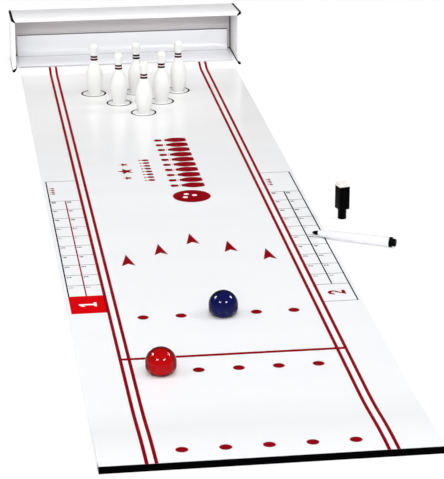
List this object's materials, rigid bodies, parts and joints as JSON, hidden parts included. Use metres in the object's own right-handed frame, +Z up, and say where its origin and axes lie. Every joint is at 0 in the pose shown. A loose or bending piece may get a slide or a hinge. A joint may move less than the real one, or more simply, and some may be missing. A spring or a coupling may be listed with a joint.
{
  "type": "roll-up bowling mat",
  "caption": "Tabletop bowling game: a roll-up lane mat fixed in a white pin box, with standing pins, gliding balls on steel bearings, an end bar, a marker and its eraser cap.",
  "frame": {"origin": "middle of the pin box's underside, on the surface that the game lies on", "axes": "+Y away from the player, along the lane and through the box's back; +X to the player's right; +Z up; the lane runs from the box towards -Y"},
  "size_m": [0.3794, 1.356, 0.076],
  "materials": {
    "white_board": "satin white foam board",
    "black_seam": "matt black sealing strip",
    "vinyl_mat": "glossy printed vinyl",
    "foam_tape": "grey foam tape",
    "black_bar": "matt black extruded strip",
    "pin_white": "gloss moulded, two printed stripes",
    "ball_red": "polished cast resin",
    "ball_blue": "polished cast resin",
    "carrier": "moulded low-friction plastic",
    "bearing_steel": "polished bearing steel",
    "marker_white": "moulded",
    "marker_black": "moulded",
    "ink_fibre": "ink-soaked fibre",
    "felt": "pressed felt"
  },
  "bodies": {
    "lane": {"floor_board": "white_board", "top_board": "white_board", "back_board": "white_board", "left_end_board": "white_board", "right_end_board": "white_board", "floor_joint_strips": "black_seam", "top_joint_strips": "black_seam", "back_seal": "black_seam", "play_mat": "vinyl_mat", "play_mat_box_floor": "vinyl_mat", "play_mat_upturn": "vinyl_mat", "mat_back_tape": "foam_tape"},
    "mat_roll_1": {"mat_roll_strip_1": "vinyl_mat"},
    "mat_roll_2": {"mat_roll_strip_2": "vinyl_mat"},
    "mat_roll_3": {"mat_roll_strip_3": "vinyl_mat"},
    "mat_roll_4": {"mat_roll_strip_4": "vinyl_mat"},
    "mat_roll_5": {"mat_roll_strip_5": "vinyl_mat"},
    "mat_roll_6": {"mat_roll_strip_6": "vinyl_mat", "end_bar": "black_bar", "end_bar_tape": "foam_tape"},
    "pin_1_front": {"pin_1_front": "pin_white"},
    "pin_2_middle_left": {"pin_2_middle_left": "pin_white"},
    "pin_3_middle_right": {"pin_3_middle_right": "pin_white"},
    "pin_4_back_left": {"pin_4_back_left": "pin_white"},
    "pin_5_back_centre": {"pin_5_back_centre": "pin_white"},
    "pin_6_back_right": {"pin_6_back_right": "pin_white"},
    "red_ball": {"red_ball_shell": "ball_red", "red_ball_carrier": "carrier"},
    "red_ball_bearing_1": {"red_ball_bearing_1": "bearing_steel"},
    "red_ball_bearing_2": {"red_ball_bearing_2": "bearing_steel"},
    "red_ball_bearing_3": {"red_ball_bearing_3": "bearing_steel"},
    "blue_ball": {"blue_ball_shell": "ball_blue", "blue_ball_carrier": "carrier"},
    "blue_ball_bearing_1": {"blue_ball_bearing_1": "bearing_steel"},
    "blue_ball_bearing_2": {"blue_ball_bearing_2": "bearing_steel"},
    "blue_ball_bearing_3": {"blue_ball_bearing_3": "bearing_steel"},
    "marker": {"marker_barrel": "marker_white", "marker_nose": "marker_white", "marker_nib": "ink_fibre", "marker_reservoir": "ink_fibre", "marker_plug": "marker_black"},
    "cap": {"cap_body": "marker_black", "cap_eraser": "felt"}
  },
  "joints": [
    {"name": "mat_roll_bend_1", "type": "hinge", "parent": "lane", "child": "mat_roll_1", "pos_m": [0, -1.186, 0.00124], "axis": [-1, 0, 0], "range_deg": [0, 45]},
    {"name": "mat_roll_bend_2", "type": "hinge", "parent": "mat_roll_1", "child": "mat_roll_2", "pos_m": [0, -1.208, 0.00124], "axis": [-1, 0, 0], "range_deg": [0, 45]},
    {"name": "mat_roll_bend_3", "type": "hinge", "parent": "mat_roll_2", "child": "mat_roll_3", "pos_m": [0, -1.23, 0.0013], "axis": [-1, 0, 0], "range_deg": [0, 45]},
    {"name": "mat_roll_bend_4", "type": "hinge", "parent": "mat_roll_3", "child": "mat_roll_4", "pos_m": [0, -1.252, 0.00254], "axis": [-1, 0, 0], "range_deg": [0, 45]},
    {"name": "mat_roll_bend_5", "type": "hinge", "parent": "mat_roll_4", "child": "mat_roll_5", "pos_m": [0, -1.274, 0.00506], "axis": [-1, 0, 0], "range_deg": [0, 45]},
    {"name": "mat_roll_bend_6", "type": "hinge", "parent": "mat_roll_5", "child": "mat_roll_6", "pos_m": [0, -1.296, 0.00643], "axis": [-1, 0, 0], "range_deg": [0, 45]},
    {"name": "pin_1_lift", "type": "slide", "parent": "lane", "child": "pin_1_front", "axis": [0, 0, 1], "range_m": [0, 0.08]},
    {"name": "pin_2_lift", "type": "slide", "parent": "lane", "child": "pin_2_middle_left", "axis": [0, 0, 1], "range_m": [0, 0.08]},
    {"name": "pin_3_lift", "type": "slide", "parent": "lane", "child": "pin_3_middle_right", "axis": [0, 0, 1], "range_m": [0, 0.08]},
    {"name": "pin_4_lift", "type": "slide", "parent": "lane", "child": "pin_4_back_left", "axis": [0, 0, 1], "range_m": [0, 0.08]},
    {"name": "pin_5_lift", "type": "slide", "parent": "lane", "child": "pin_5_back_centre", "axis": [0, 0, 1], "range_m": [0, 0.08]},
    {"name": "pin_6_lift", "type": "slide", "parent": "lane", "child": "pin_6_back_right", "axis": [0, 0, 1], "range_m": [0, 0.08]},
    {"name": "red_ball_glide", "type": "slide", "parent": "lane", "child": "red_ball", "axis": [0, 1, 0], "range_m": [-0.05, 0.92]},
    {"name": "red_bearing_1_roll", "type": "hinge", "parent": "red_ball", "child": "red_ball_bearing_1", "pos_m": [-0.074, -1.1076, 0.0032], "axis": [1, 0, 0], "continuous": true},
    {"name": "red_bearing_2_roll", "type": "hinge", "parent": "red_ball", "child": "red_ball_bearing_2", "pos_m": [-0.07868, -1.1157, 0.0032], "axis": [1, 0, 0], "continuous": true},
    {"name": "red_bearing_3_roll", "type": "hinge", "parent": "red_ball", "child": "red_ball_bearing_3", "pos_m": [-0.06932, -1.1157, 0.0032], "axis": [1, 0, 0], "continuous": true},
    {"name": "blue_ball_glide", "type": "slide", "parent": "lane", "child": "blue_ball", "axis": [0, 1, 0], "range_m": [-0.19, 0.69]},
    {"name": "blue_bearing_1_roll", "type": "hinge", "parent": "blue_ball", "child": "blue_ball_bearing_1", "pos_m": [0.004, -0.9706, 0.0032], "axis": [1, 0, 0], "continuous": true},
    {"name": "blue_bearing_2_roll", "type": "hinge", "parent": "blue_ball", "child": "blue_ball_bearing_2", "pos_m": [-0.00068, -0.9787, 0.0032], "axis": [1, 0, 0], "continuous": true},
    {"name": "blue_bearing_3_roll", "type": "hinge", "parent": "blue_ball", "child": "blue_ball_bearing_3", "pos_m": [0.00868, -0.9787, 0.0032], "axis": [1, 0, 0], "continuous": true},
    {"name": "marker_lift", "type": "slide", "parent": "lane", "child": "marker", "axis": [0, 0, 1], "range_m": [0, 0.08]},
    {"name": "cap_lift", "type": "slide", "parent": "lane", "child": "cap", "axis": [0, 0, 1], "range_m": [0, 0.08]}
  ],
  "couplings": [
    {"joint": "mat_roll_bend_2", "follows": "mat_roll_bend_1", "ratio": 1},
    {"joint": "mat_roll_bend_3", "follows": "mat_roll_bend_1", "ratio": 1},
    {"joint": "mat_roll_bend_4", "follows": "mat_roll_bend_1", "ratio": 1},
    {"joint": "mat_roll_bend_5", "follows": "mat_roll_bend_1", "ratio": 1},
    {"joint": "mat_roll_bend_6", "follows": "mat_roll_bend_1", "ratio": 1},
    {"joint": "red_bearing_1_roll", "follows": "red_ball_glide", "rad_per_m": -500},
    {"joint": "red_bearing_2_roll", "follows": "red_ball_glide", "rad_per_m": -500},
    {"joint": "red_bearing_3_roll", "follows": "red_ball_glide", "rad_per_m": -500},
    {"joint": "blue_bearing_1_roll", "follows": "blue_ball_glide", "rad_per_m": -500},
    {"joint": "blue_bearing_2_roll", "follows": "blue_ball_glide", "rad_per_m": -500},
    {"joint": "blue_bearing_3_roll", "follows": "blue_ball_glide", "rad_per_m": -500}
  ]
}
